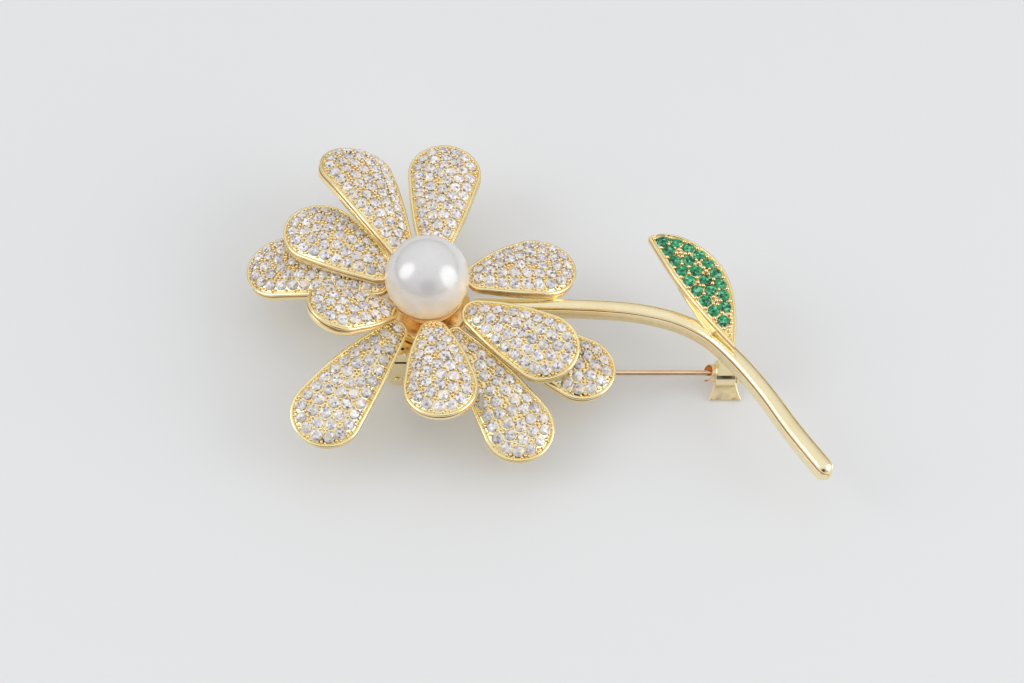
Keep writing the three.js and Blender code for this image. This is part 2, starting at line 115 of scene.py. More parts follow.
LEAF = dict(
    base=(36.1, -7.9, 10.1), heading=121.8, rise=9, droop=-5, length=18.6,
    belly=5.2, belly_at=10.6, back=0.85, thickness=1.2, crown=0.35,
)
STEM_BACK = 6.45
STEM = dict(
    wall=1.65, dome=0.5, width=(1.7, 2.2), steps=90,
    route=[(x, y, STEM_BACK) for x, y in (
        (5.5, 0), (12, -0.15), (20, -0.4), (25, -0.95), (29.5, -2.2),
        (33.2, -4.4), (36.2, -7.7), (39.3, -12.2), (42.6, -18), (46.3, -23.8),
    )],
)
LEAF_STALK = dict(
    wall=0.45, dome=0.2, width=(1.8, 0.6), steps=24,
    route=[(34.1, -4.9, 8.75), (32.2, -2.1, 8.9), (29.9, 1.5, 9.2)],
)
HUB = dict(radius=5.1, back=6.25, top=7.55)
CUP = dict(gap=0.12, wall=0.35, rim=10.0)
PEG = dict(radius=0.45, hole=0.55, depth=4)
EAR = dict(width=2.3, thickness=0.45, drop=1.25, tall_top=7.5)
KNUCKLE = dict(radius=0.95, width=1.0)
RIVET_RADIUS = 0.32
NEEDLE_RADIUS = 0.36
RUNNING_GAP = 0.07
CATCH = dict(bore=0.5, tube=1.08, ring=1.62, opening=62)
LEVER = dict(root=2.7, outer=4.1, length=2.2, thickness=0.5, angle=45)

# Stone setting
CLEAR_SETTING = dict(radius=0.7, pitch=1.5, border=0.5, bead=0.19, bead_pitch=0.4, dome=0.42)
GREEN_SETTING = dict(radius=0.76, pitch=1.66, border=0.5, bead=0.27, bead_pitch=0.5, dome=0.15)
DOME_REACH = 2.0  # how far from the border the bed has risen to its full height
ROW_PULL = 0.5  # how strongly a stone keeps to its neighbours when the rows are laid out
BED_LEVEL = -0.16
GIRDLE_LEVEL = -0.02


# ---- meshes ----
def place_mesh(name, verts, faces, body, node, material, smooth_angle=40):
    """One visible piece that stands for a CAD node and moves with its body."""
    mesh = bpy.data.meshes.new(name)
    points = (np.asarray(verts, float) + FLOWER_ORIGIN) * MM
    mesh.from_pydata(points.tolist(), [], faces)
    work = bmesh.new()
    work.from_mesh(mesh)
    bmesh.ops.recalc_face_normals(work, faces=work.faces)
    work.to_mesh(mesh)
    work.free()
    mesh.validate()
    mesh.polygons.foreach_set("use_smooth", [True] * len(mesh.polygons))
    mesh.set_sharp_from_angle(angle=math.radians(smooth_angle))
    mesh.materials.append(material)
    piece = bpy.data.objects.new(name, mesh)
    bpy.context.scene.collection.objects.link(piece)
    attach(piece, body)
    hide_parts(node)
    return piece


def add_finish_or_painted_shade(piece, chosen, material):
    """Gives the chosen faces another material."""
    index = np.zeros(len(piece.data.polygons), np.int32)
    piece.data.polygons.foreach_get("material_index", index)
    piece.data.materials.append(material)
    index[chosen] = len(piece.data.materials) - 1
    piece.data.polygons.foreach_set("material_index", index)


def joined(*bodies):
    """Several (verts, faces) bodies as one."""
    verts = []
    faces = []
    for more_verts, more_faces in bodies:
        start = len(verts)
        verts.extend(np.asarray(more_verts, float).tolist())
        faces.extend([[corner + start for corner in face] for face in more_faces])
    return verts, faces


def bridge(first, second):
    """Faces between two loops; a loop of one point makes a fan."""
    count = max(len(first), len(second))
    faces = []
    for k in range(count):
        n = (k + 1) % count
        if len(first) == 1:
            faces.append([first[0], second[n], second[k]])
        elif len(second) == 1:
            faces.append([first[k], first[n], second[0]])
        else:
            faces.append([first[k], first[n], second[n], second[k]])
    return faces


def turned(profile, sides):
    """A body turned about Z from (radius, height) points that start and end on the axis."""
    verts = []
    rings = []
    for radius, height in profile:
        if radius == 0:
            rings.append([len(verts)])
            verts.append((0.0, 0.0, height))
            continue
        start = len(verts)
        rings.append(list(range(start, start + sides)))
        for k in range(sides):
            angle = math.tau * k / sides
            verts.append((radius * math.cos(angle), radius * math.sin(angle), height))
    faces = [face for first, second in zip(rings, rings[1:]) for face in bridge(first, second)]
    return np.array(verts), faces


def along_x(body):
    verts, faces = body
    return verts[:, [2, 0, 1]], faces


def along_y(body):
    verts, faces = body
    return verts[:, [1, 2, 0]], faces


def moved(body, offset):
    verts, faces = body
    return np.asarray(verts, float) + np.asarray(offset, float), faces


def prism(outline, start, end, hole=None):
    """A flat outline in XY raised from start to end; hole is a matching inner outline."""
    count = len(outline)
    layers = [(outline, start), (outline, end)]
    if hole is not None:
        layers += [(hole, end), (hole, start)]
    verts = [(x, y, z) for points, z in layers for x, y in points]
    loops = [list(range(i * count, (i + 1) * count)) for i in range(len(layers))]
    faces = bridge(loops[0], loops[1])
    if hole is None:
        faces += [loops[0], loops[1]]
        return np.array(verts, float), faces
    faces += bridge(loops[1], loops[2])
    faces += bridge(loops[2], loops[3])
    faces += bridge(loops[3], loops[0])
    return np.array(verts, float), faces


def bevelled(body, width, sharp=35, segments=3):
    """The same body with its sharp edges rounded."""
    verts, faces = body
    work = bmesh.new()
    made = [work.verts.new(v) for v in np.asarray(verts, float).tolist()]
    for face in faces:
        work.faces.new([made[i] for i in face])
    bmesh.ops.recalc_face_normals(work, faces=work.faces)
    edges = [e for e in work.edges if e.calc_face_angle(0) > math.radians(sharp)]
    bmesh.ops.bevel(work, geom=edges, offset=width, segments=segments, profile=0.5, affect="EDGES")
    work.verts.index_update()
    new_verts = np.array([v.co[:] for v in work.verts])
    new_faces = [[v.index for v in face.verts] for face in work.faces]
    work.free()
    return new_verts, new_faces


def block(low, high, bevel=0.12):
    """A box between two corners, with rounded edges."""
    (x0, y0, z0), (x1, y1, z1) = low, high
    outline = [(x0, y0), (x1, y0), (x1, y1), (x0, y1)]
    return bevelled(prism(outline, z0, z1), bevel)


def unit_ball():
    work = bmesh.new()
    bmesh.ops.create_icosphere(work, subdivisions=2, radius=1)
    verts = np.array([v.co[:] for v in work.verts])
    faces = [[v.index for v in face.verts] for face in work.faces]
    work.free()
    return verts, faces


# ---- blades: the petals and the leaf ----
def teardrop_half_width(s, small_at, small_radius, large_at, large_radius):
    """Half the width of a teardrop: two circles joined by gently bulging sides."""
    slope = math.asin((large_radius - small_radius) / (large_at - small_at))
    start = small_at - small_radius * math.sin(slope)
    end = large_at - large_radius * math.sin(slope)
    part = np.clip((s - start) / (end - start), 0, 1)
    straight = (small_radius + (large_radius - small_radius) * part) * math.cos(slope)
    sides = straight + PETAL_SIDE_BULGE * np.sin(np.pi * part)
    inner_end = np.sqrt(np.maximum(small_radius**2 - (s - small_at) ** 2, 0))
    outer_end = np.sqrt(np.maximum(large_radius**2 - (s - large_at) ** 2, 0))
    return np.where(s <= start, inner_end, np.where(s >= end, outer_end, sides))


class Surface:
    """Lays flat points on a surface that pitches from rise to droop and banks."""

    def __init__(self, origin, heading, rise, droop, length, bank, shift, crown, half_width):
        angle = math.radians(heading)
        self.origin = np.array(origin, float)
        self.radial = np.array([math.cos(angle), math.sin(angle), 0])
        self.sideways = np.array([-math.sin(angle), math.cos(angle), 0])
        self.pitch_start = math.radians(rise)
        self.bend = math.radians(droop - rise) / length
        self.bank = math.radians(bank)
        self.shift = shift
        self.crown = crown
        self.half_width = half_width

    def directions(self, s):
        """The pitch, and the forward, across and outward directions before the crown's lean."""
        pitch = (self.pitch_start + self.bend * s)[:, None]
        forward = np.cos(pitch) * self.radial + np.sin(pitch) * UP
        level = -np.sin(pitch) * self.radial + np.cos(pitch) * UP
        across = math.cos(self.bank) * self.sideways + math.sin(self.bank) * level
        normal = math.cos(self.bank) * level - math.sin(self.bank) * self.sideways
        return pitch, forward, across, normal

    def axes(self, s, v):
        """Forward, across and outward directions at flat points."""
        _, forward, across, normal = self.directions(s)
        fall = np.arctan(2 * self.crown * v / self.half_width**2)[:, None]
        leaning = np.cos(fall) * normal + np.sin(fall) * across
        return forward, np.cos(fall) * across - np.sin(fall) * normal, leaning

    def place(self, s, v, height):
        s, v, height = np.broadcast_arrays(*(np.asarray(a, float) for a in (s, v, height)))
        pitch, _, across, normal = self.directions(s)
        reach = (np.sin(pitch) - math.sin(self.pitch_start)) / self.bend
        climb = (math.cos(self.pitch_start) - np.cos(pitch)) / self.bend
        fallen = (height - self.crown * (v / self.half_width) ** 2)[:, None]
        return (
            self.origin + reach * self.radial + climb * UP + self.shift * self.sideways
            + v[:, None] * across + fallen * normal
        )


class Petal:
    def __init__(
        self, tier, heading, rise, droop, bank, reach, radius,
        shift=0, root=PETAL_ROOT_REACH, root_radius=PETAL_ROOT_RADIUS, level=None,
    ):
        self.start = root
        self.end = reach
        self.circles = (root + root_radius, root_radius, reach - radius, radius)
        origin = (0, 0, level or TIER_LEVEL[tier])
        self.surface = Surface(origin, heading, rise, droop, reach, bank, shift, PETAL_CROWN, radius)

    def edges(self, s, inset):
        small_at, small_radius, large_at, large_radius = self.circles
        half = teardrop_half_width(s, small_at, small_radius - inset, large_at, large_radius - inset)
        return -half, half

    def thickness(self, s):
        span = PETAL_THICKNESS["full_at"] - self.start
        part = np.clip((s - self.start) / span, 0, 1)
        return PETAL_THICKNESS["root"] + (PETAL_THICKNESS["tip"] - PETAL_THICKNESS["root"]) * part


class Leaf:
    def __init__(self, base, heading, rise, droop, length, belly, belly_at, back, thickness, crown):
        self.start = 0
        self.end = length
        self.belly = belly
        self.belly_at = belly_at
        self.back = back
        self.plate = thickness
        self.surface = Surface(base, heading, rise, droop, length, 0, 0, crown, belly)

    def full_side(self, s):
        """The arched side: pointed towards the base, round towards the tip."""
        before = 1 - np.clip((self.belly_at - s) / self.belly_at, 0, 1) ** 1.7
        after = np.clip((s - self.belly_at) / (self.end - self.belly_at), 0, 1)
        return self.belly * np.where(s < self.belly_at, before, np.sqrt(1 - after**2))

    def edges(self, s, inset):
        right = -self.full_side(s)
        left = self.back * np.sin(np.pi * s / self.end)
        narrow = np.minimum(inset, (left - right) * 0.45)
        return right + narrow, left - narrow

    def thickness(self, s):
        return np.full_like(s, self.plate)


BLADE_STEPS = 60
ACROSS_STEPS = 12


def blade_stations(blade, inset):
    middle = (blade.start + blade.end) / 2
    half = (blade.end - blade.start) / 2 - inset
    return middle - half * np.cos(np.linspace(0, np.pi, BLADE_STEPS + 1))


def blade_loop(blade, inset, side, height):
    """The border at an inset, from the inner end along the right side to the tip and back.
    side 0 counts heights from the front, side 1 from the back."""
    stations = blade_stations(blade, inset)
    right, left = blade.edges(stations, inset)
    middle = (right + left) / 2
    s = np.concatenate([stations, stations[-2:0:-1]])
    v = np.concatenate([middle[:1], right[1:-1], middle[-1:], left[-2:0:-1]])
    return blade.surface.place(s, v, height - side * blade.thickness(s))


def blade_sheet(blade, loop, first_index, inset, side, height, dome):
    """Points and faces that fill a loop of the border; dome says how far each flat point is raised."""
    stations = blade_stations(blade, inset)
    right, left = blade.edges(stations, inset)
    verts = []
    rows = []
    next_index = first_index
    for i in range(1, BLADE_STEPS):
        part = np.linspace(0, 1, ACROSS_STEPS + 1)[1:-1]
        v = right[i] + (left[i] - right[i]) * part
        s = np.full_like(v, stations[i])
        lift = height - side * blade.thickness(s) + dome(np.stack([s, v], axis=1))
        verts.extend(blade.surface.place(s, v, lift))
        inner = list(range(next_index, next_index + len(v)))
        next_index += len(v)
        rows.append([loop[i], *inner, loop[2 * BLADE_STEPS - i]])
    faces = []
    for j in range(ACROSS_STEPS):
        faces.append([loop[0], rows[0][j], rows[0][j + 1]])
        faces.append([loop[BLADE_STEPS], rows[-1][j + 1], rows[-1][j]])
        for lower, upper in zip(rows, rows[1:]):
            faces.append([lower[j], upper[j], upper[j + 1], lower[j + 1]])
    return verts, faces


# The metal's section from the recessed back, over a groove and the polished border, to the bed:
# inset, side, height.
BLADE_SECTION = [
    (1.0, 1, 0.3), (0.9, 1, 0.26), (0.84, 1, 0.05), (0.76, 1, 0.0), (0.3, 1, 0.0),
    (0.18, 1, 0.02), (0.08, 1, 0.08), (0.02, 1, 0.18), (0.0, 1, 0.3),
    (0.0, 0, -0.58), (0.02, 0, -0.52), (0.16, 0, -0.45), (0.16, 0, -0.35), (0.02, 0, -0.27),
    (0.0, 0, -0.21), (0.01, 0, -0.12), (0.04, 0, -0.05), (0.1, 0, -0.01), (0.2, 0, 0.0), (0.3, 0, -0.01),
    (0.35, 0, -0.05), (0.37, 0, -0.14), (0.42, 0, -0.22), (0.47, 0, BED_LEVEL),
]

GROOVE = range(10, 13)  # the section's strips that lie in the groove, coloured dark as painted shade


def blade_metal(blade, setting):
    """The casting: a plate with a polished border, a domed bed for stones and a recessed back."""
    loops = [blade_loop(blade, *section) for section in BLADE_SECTION]
    count = len(loops[0])
    verts = [point for loop in loops for point in loop]
    indices = [list(range(i * count, (i + 1) * count)) for i in range(len(loops))]
    faces = []
    for first, second in zip(indices, indices[1:]):
        faces += bridge(first, second)
    outline = outline_points(blade)
    domes = {
        0: lambda points: np.zeros(len(points)),
        -1: lambda points: bed_dome(points, outline, setting)[0],
    }
    for index, dome in domes.items():
        inset, side, height = BLADE_SECTION[index]
        more_verts, more_faces = blade_sheet(
            blade, indices[index], len(verts), inset, side, height, dome
        )
        verts += more_verts
        faces += more_faces
    return verts, faces


def outline_points(blade):
    stations = blade_stations(blade, 0)
    right, left = blade.edges(stations, 0)
    s = np.concatenate([stations, stations[-2:0:-1]])
    v = np.concatenate([right[:-1], left[-1:], left[-2:0:-1]])
    return np.stack([s, v], axis=1)


def border_distance(points, outline):
    """How far points lie inside an outline, and the way inwards."""
    start = outline
    step = np.roll(outline, -1, axis=0) - outline
    offset = points[:, None, :] - start[None, :, :]
    part = np.clip((offset * step).sum(2) / np.maximum((step**2).sum(1), 1e-9), 0, 1)
    away = offset - part[:, :, None] * step
    gap = np.linalg.norm(away, axis=2)
    nearest = gap.argmin(1)
    rows = np.arange(len(points))
    x, y = points[:, None, 0], points[:, None, 1]
    y0, y1 = start[:, 1], start[:, 1] + step[:, 1]
    crosses = (y0 > y) != (y1 > y)
    slope = step[:, 0] / np.where(step[:, 1] == 0, 1e-9, step[:, 1])
    hits = crosses & (x < start[:, 0] + (y - y0) * slope)
    inside = hits.sum(1) % 2 == 1
    sign = np.where(inside, 1.0, -1.0)
    inward = away[rows, nearest] / np.maximum(gap[rows, nearest], 1e-9)[:, None] * sign[:, None]
    return gap[rows, nearest] * sign, inward


def bed_dome(points, outline, setting):
    """How far the bed is raised at flat points, and its slope towards the middle."""
    inside, inward = border_distance(points, outline)
    part = np.clip((inside - setting["border"]) / DOME_REACH, 0, 1)
    slope = 2 * setting["dome"] / DOME_REACH * (1 - part)
    return setting["dome"] * (1 - (1 - part) ** 2), slope[:, None] * inward


# ---- stones ----
def relaxed(spots, outline, margin, pitch, rounds):
    """Pushes stone centres apart and keeps them inside the border."""
    for _ in range(rounds):
        apart = spots[:, None, :] - spots[None, :, :]
        gap = np.linalg.norm(apart, axis=2) + np.eye(len(spots)) * 99
        push = np.clip(pitch - gap, 0, None)[:, :, None] * apart / gap[:, :, None]
        spots = spots + 0.22 * push.sum(1)
        inside, inward = border_distance(spots, outline)
        spots = spots + np.clip(margin - inside, 0, None)[:, None] * inward
    return spots


def stone_spots(blade, setting, rng):
    """Close-packed stone centres: rows that follow the border, evened out, then filled up."""
    outline = outline_points(blade)
    margin = setting["border"] + setting["radius"]
    pitch = setting["pitch"]
    s, v = np.meshgrid(np.arange(blade.start, blade.end, 0.13), np.arange(-6, 6, 0.13))
    grid = np.stack([s.ravel(), v.ravel()], axis=1)
    inside, _ = border_distance(grid, outline)
    grid, depth = grid[inside > margin - 0.1], inside[inside > margin - 0.1]
    free, free_depth = grid, depth + rng.normal(0, 0.05, len(depth))
    nearest = np.full(len(free), 99.0)
    spots = [free[free[:, 0].argmax()]]
    while True:
        gap = np.linalg.norm(free - spots[-1], axis=1)
        nearest = np.minimum(nearest, gap)
        open_still = gap > pitch * 0.94
        free, free_depth, nearest = free[open_still], free_depth[open_still], nearest[open_still]
        if len(free) == 0:
            break
        spots.append(free[(free_depth + ROW_PULL * nearest).argmin()])
    spots = relaxed(np.array(spots), outline, margin, pitch, 60)
    while True:
        room = np.linalg.norm(grid[:, None, :] - spots[None, :, :], axis=2).min(1)
        if room.max() < pitch * 0.78:
            break
        spots = np.vstack([spots, grid[room.argmax()]])
        spots = relaxed(spots, outline, margin, pitch, 40)
    return relaxed(spots, outline, margin, pitch * 1.03, 100), outline


def stone_radii(spots, outline, setting):
    """Each stone as large as its neighbours and the border leave room for."""
    apart = np.linalg.norm(spots[:, None, :] - spots[None, :, :], axis=2) + np.eye(len(spots)) * 99
    inside, _ = border_distance(spots, outline)
    room = np.minimum(apart.min(1) / 2 - 0.02, inside - setting["border"] + 0.04)
    return np.clip(room, setting["radius"] * 0.68, setting["radius"])


def bead_spots(blade, spots, radii, outline, setting):
    """Fills what the stones leave free with beads, the widest gaps first."""
    s, v = np.meshgrid(np.arange(blade.start, blade.end, 0.09), np.arange(-6, 6, 0.09))
    free = np.stack([s.ravel(), v.ravel()], axis=1)
    inside, _ = border_distance(free, outline)
    keep = inside > setting["border"] - 0.02
    free, inside = free[keep], inside[keep]
    gaps = np.linalg.norm(free[:, None, :] - spots[None, :, :], axis=2) - radii
    room = np.minimum(gaps.min(1), inside - setting["border"] + 0.12)
    beads = []
    while len(room) and room.max() > setting["bead"] * 0.32:
        best = room.argmax()
        size = float(np.clip(room[best] + 0.05, setting["bead"] * 0.7, setting["bead"]))
        beads.append((free[best][0], free[best][1], size))
        pitch = setting["bead_pitch"] * (0.6 + 0.4 * size / setting["bead"])
        clear = np.linalg.norm(free - free[best], axis=1) > pitch
        free, room = free[clear], room[clear]
    return beads


def brilliant():
    """A round brilliant's crown on a short skirt, for a radius of 1: points, facets, facet kinds."""
    verts = [(0.0, 0.0, 0.3)]
    rings = []
    for count, turn, radius, height in (
        (8, 0.0, 0.56, 0.3), (8, 0.5, 0.79, 0.17), (16, 0.0, 1.0, 0.0), (16, 0.0, 0.94, -0.28),
    ):
        rings.append(list(range(len(verts), len(verts) + count)))
        for k in range(count):
            angle = math.tau * (k + turn) / count
            verts.append((radius * math.cos(angle), radius * math.sin(angle), height))
    table, middle, girdle, foot = rings
    facets = []
    for k in range(8):
        n = (k + 1) % 8
        facets.append(([0, table[k], table[n]], "table"))
        facets.append(([table[k], middle[k], table[n]], "star"))
        facets.append(([table[n], middle[k], girdle[(2 * k + 2) % 16], middle[n]], "main"))
        facets.append(([middle[k], girdle[2 * k], girdle[2 * k + 1]], "girdle"))
        facets.append(([middle[k], girdle[2 * k + 1], girdle[(2 * k + 2) % 16]], "girdle"))
    for k in range(16):
        n = (k + 1) % 16
        facets.append(([girdle[k], foot[k], foot[n], girdle[n]], "skirt"))
    facets.append((foot[::-1], "skirt"))
    return np.array(verts), facets


BRILLIANT_POINTS, BRILLIANT_FACETS = brilliant()

# Facet colours, with how often each is seen: the stones' body colours, with painted light for what a cut
# stone shows: white painted highlights, warm painted reflections of the gold beneath and dark painted
# reflections.
CLEAR_TONES_AND_GLINTS = [
    ((0.95, 0.94, 0.93), 0.28), ((0.70, 0.67, 0.72), 0.24), ((0.46, 0.43, 0.48), 0.17),
    ((0.88, 0.70, 0.42), 0.21), ((0.20, 0.16, 0.15), 0.10),
]
GREEN_TONES_AND_GLINTS = [
    ((0.0, 0.25, 0.09), 0.34), ((0.01, 0.42, 0.16), 0.26), ((0.22, 0.72, 0.40), 0.16),
    ((0.0, 0.07, 0.03), 0.17), ((0.0, 0.02, 0.01), 0.07),
]


def facet_colours(tones_and_glints, rng):
    """One colour for each facet of a stone, round a brightness of its own: body colours mixed with painted
    highlights and reflections.
    """
    colours = np.array([colour for colour, _ in tones_and_glints])
    shares = np.array([share for _, share in tones_and_glints])
    picks = rng.choice(len(tones_and_glints), size=len(BRILLIANT_FACETS), p=shares / shares.sum())
    level = rng.uniform(0.8, 1.08)
    return np.clip(colours[picks] * level, 0, 1)


def stones_piece(name, blade, spots, radii, outline, setting, tones_and_glints, material, rng):
    forward, across, normal = blade.surface.axes(spots[:, 0], spots[:, 1])
    lift, slope = bed_dome(spots, outline, setting)
    centres = blade.surface.place(spots[:, 0], spots[:, 1], GIRDLE_LEVEL + lift)
    normal = normal - slope[:, :1] * forward - slope[:, 1:] * across
    verts = []
    faces = []
    colours = []
    for i, centre in enumerate(centres):
        turn = rng.uniform(0, math.tau)
        lean = rng.normal(0, 0.035, 2)
        ahead = forward[i] * math.cos(turn) + across[i] * math.sin(turn)
        aside = -forward[i] * math.sin(turn) + across[i] * math.cos(turn)
        upward = normal[i] + lean[0] * ahead + lean[1] * aside
        upward /= np.linalg.norm(upward)
        aside = np.cross(upward, ahead)
        ahead = np.cross(aside, upward)
        points = BRILLIANT_POINTS * radii[i]
        start = len(verts)
        verts.extend(centre + points[:, :1] * ahead + points[:, 1:2] * aside + points[:, 2:] * upward)
        faces.extend([[corner + start for corner in facet] for facet, _ in BRILLIANT_FACETS])
        colours.extend(facet_colours(tones_and_glints, rng))
    piece = place_mesh(name + "_set", verts, faces, "brooch", name, material, 1)
    # Painted light: these per-facet colours hold painted highlights and reflections as well as the body
    # colour.
    tone_and_glint = piece.data.attributes.new("tone_and_glint", "FLOAT_COLOR", "FACE")
    flat = np.ones((len(colours), 4))
    flat[:, :3] = colours
    tone_and_glint.data.foreach_set("color", flat.ravel())
    return piece


def blade_pieces(name, blade, setting, tones_and_glints, stone_material, metal_material, rng):
    spots, outline = stone_spots(blade, setting, rng)
    radii = stone_radii(spots, outline, setting)
    beads = bead_spots(blade, spots, radii, outline, setting)
    bead_s, bead_v, bead_size = (np.array(column) for column in zip(*beads))
    lift, _ = bed_dome(np.stack([bead_s, bead_v], axis=1), outline, setting)
    centres = blade.surface.place(bead_s, bead_v, GIRDLE_LEVEL + 0.03 + lift)
    unit_verts, unit_faces = unit_ball()
    bodies = [(unit_verts * size + centre, unit_faces) for centre, size in zip(centres, bead_size)]
    casting = blade_metal(blade, setting)
    verts, faces = joined(casting, *bodies)
    piece = place_mesh(name + "_casting", verts, faces, "brooch", name, metal_material, 50)
    number = np.arange(len(piece.data.polygons))
    add_finish_or_painted_shade(piece, number >= len(casting[1]), bead_gold)
    # Painted shade: the groove under the border is coloured dark.
    add_finish_or_painted_shade(piece, np.isin(number // (2 * BLADE_STEPS), GROOVE), groove_painted_shade)
    stones_piece(
        name + "_stones", blade, spots, radii, outline, setting, tones_and_glints, stone_material, rng
    )
    print(name, len(spots), "stones", len(beads), "beads")


# ---- bars: the stem and the leaf's stalk ----
def spline_points(route, parts):
    """Points at fractions of the length of a centripetal Catmull-Rom line through a route."""
    route = [np.array(p, float) for p in route]
    route = [2 * route[0] - route[1], *route, 2 * route[-1] - route[-2]]
    samples = []
    for p0, p1, p2, p3 in zip(route, route[1:], route[2:], route[3:]):
        d0, d1, d2 = (math.sqrt(np.linalg.norm(b - a)) for a, b in ((p0, p1), (p1, p2), (p2, p3)))
        m1 = ((p1 - p0) / d0 - (p2 - p0) / (d0 + d1) + (p2 - p1) / d1) * d1
        m2 = ((p2 - p1) / d1 - (p3 - p1) / (d1 + d2) + (p3 - p2) / d2) * d1
        for t in np.linspace(0, 1, 40, endpoint=False):
            cubic = 2 * p1 - 2 * p2 + m1 + m2
            square = -3 * p1 + 3 * p2 - 2 * m1 - m2
            samples.append(p1 + m1 * t + square * t**2 + cubic * t**3)
    samples = np.array([*samples, route[-2]])
    length = np.concatenate([[0], np.cumsum(np.linalg.norm(np.diff(samples, axis=0), axis=1))])
    where = np.asarray(parts) * length[-1]
    return np.stack([np.interp(where, length, samples[:, k]) for k in range(3)], axis=1), length[-1]


def bar_section(width, wall, dome):
    """A bar's section: flat back, straight sides, a shoulder line on each side, domed top."""
    half = width / 2
    side = [
        (half - 0.12, 0), (half - 0.03, 0.04), (half, 0.14),
        (half, wall - 0.14), (half - 0.03, wall - 0.07),
    ]
    line = [(half - 0.1, wall - 0.05), (half - 0.16, wall - 0.1), (half - 0.2, wall - 0.02)]
    top = [(half * part, wall + dome * (1 - part**2.2)) for part in (0.74, 0.6, 0.4, 0.2, 0.0)]
    right = side + line + top
    return right + [(-x, z) for x, z in reversed(right[:-1])]


BAR_POINTS = len(bar_section(1, 1, 1))
FRONT_LINE = (17, 18)  # the section's strips that lie in the line along the bar's front, coloured dark as painted shade


def bar(route, width, wall, dome, steps):
    round_end = width[1] / 2
    _, length = spline_points(route, [0])
    straight = np.linspace(0, 1 - round_end / length, steps)
    turns = np.radians([15, 30, 45, 60, 72, 82])
    parts = np.concatenate([straight, 1 - round_end / length * (1 - np.sin(turns))])
    scales = np.concatenate([np.ones(steps), np.cos(turns)])
    points, _ = spline_points(route, parts)
    ahead = np.gradient(points, axis=0)
    across = np.stack([-ahead[:, 1], ahead[:, 0], np.zeros(len(points))], axis=1)
    across /= np.linalg.norm(across, axis=1)[:, None]
    verts = []
    for point, side, part, scale in zip(points, across, parts, scales):
        local_width = (width[0] + (width[1] - width[0]) * part) * scale
        section = bar_section(local_width, wall, dome)
        verts += [point + side * a + UP * z * (0.5 + 0.5 * scale) for a, z in section]
    count = len(section)
    loops = [list(range(i * count, (i + 1) * count)) for i in range(len(points))]
    faces = [face for first, second in zip(loops, loops[1:]) for face in bridge(first, second)]
    return verts, faces + [loops[0], loops[-1]]


# ---- pearl, cup and hub ----
def arc(radius, low, high, steps):
    """A turned profile on a sphere round the pearl's centre, between two heights."""
    start = math.asin(max((low - PEARL_HEIGHT) / radius, -1))
    end = math.asin(min((high - PEARL_HEIGHT) / radius, 1))
    angles = np.linspace(start, end, steps + 1)
    return [(max(radius * math.cos(a), 0), PEARL_HEIGHT + radius * math.sin(a)) for a in angles]


def pearl_body():
    mouth = PEARL_HEIGHT - math.sqrt(PEARL_RADIUS**2 - PEG["hole"] ** 2)
    hole_end = mouth + PEG["depth"]
    skin = arc(PEARL_RADIUS, mouth, PEARL_HEIGHT + PEARL_RADIUS, 64)
    skin[-1] = (0, PEARL_HEIGHT + PEARL_RADIUS)
    return turned([(0, hole_end), (PEG["hole"], hole_end), *skin], 128)


def cup_body():
    inside = PEARL_RADIUS + CUP["gap"]
    outside = inside + CUP["wall"]
    foot = PEARL_HEIGHT - math.sqrt(inside**2 - PEG["radius"] ** 2)
    top = PEARL_HEIGHT - PEARL_RADIUS + PEG["depth"] - 3 * CUP["gap"]
    outer = arc(outside, PEARL_HEIGHT - outside, CUP["rim"] - 0.12, 24)
    outer[0] = (0, PEARL_HEIGHT - outside)
    inner = arc(inside, foot, CUP["rim"] - 0.12, 24)[::-1]
    lip_radius = (outer[-1][0] + inner[0][0]) / 2
    lip = [
        (outer[-1][0] - 0.04, CUP["rim"] - 0.04), (lip_radius, CUP["rim"]),
        (inner[0][0] + 0.04, CUP["rim"] - 0.04),
    ]
    peg = [(PEG["radius"], foot + 0.1), (PEG["radius"], top - 0.1), (PEG["radius"] - 0.1, top), (0, top)]
    return turned([*outer, *lip, *inner[:-1], *peg], 96)


def hub_body():
    """A disc with a turned groove and a countersunk middle on its back."""
    radius, back, top = HUB["radius"], HUB["back"], HUB["top"]
    return turned([
        (0, back + 0.25), (1.2, back + 0.25), (1.3, back + 0.05), (1.4, back), (3.4, back),
        (3.5, back + 0.12), (3.7, back + 0.12), (3.8, back), (radius - 0.4, back),
        (radius - 0.12, back + 0.12), (radius, back + 0.4), (radius, top - 0.4),
        (radius - 0.12, top - 0.12), (radius - 0.4, top), (0, top),
    ], 96)


# ---- hinge, pin and catch ----
def rounded_ear(half, top, drop, count=64):
    """An ear's outline round the pin's axis: a round end below, a straight-sided plate above."""
    points = []
    for k in range(count):
        angle = math.tau * k / count
        x, y = math.cos(angle), math.sin(angle)
        reach = drop
        if y > 0:
            to_side = half / abs(x) if abs(x) > 1e-6 else 99
            reach = min(to_side, top / y)
        points.append((x * reach, y * reach))
    return points


def circle(radius, count=64):
    angles = [math.tau * k / count for k in range(count)]
    return [(radius * math.cos(angle), radius * math.sin(angle)) for angle in angles]


def standing(body, middle):
    """Turns a body's Z into -Y and its Y into Z, then moves it to its middle."""
    verts, faces = body
    return np.stack([verts[:, 0], -verts[:, 2], verts[:, 1]], axis=1) + middle, faces


def hinge_body(pin):
    half = EAR["width"] / 2
    inner = KNUCKLE["width"] / 2 + RUNNING_GAP
    foot_top = HUB["back"] - CUP["gap"]
    tops = {1: EAR["tall_top"], -1: foot_top}
    ears = []
    for side, top in tops.items():
        outline = rounded_ear(half, top - pin[2], EAR["drop"])
        start, end = sorted((side * inner, side * (inner + EAR["thickness"])))
        ear = prism(outline, start, end, circle(RIVET_RADIUS + 0.04))
        ears.append(standing(bevelled(ear, 0.06), pin))
    foot = block(
        (pin[0] - half, pin[1] - inner - EAR["thickness"], foot_top - 0.6),
        (pin[0] + half + 1.2, -1.6, foot_top),
    )
    return joined(*ears, foot)


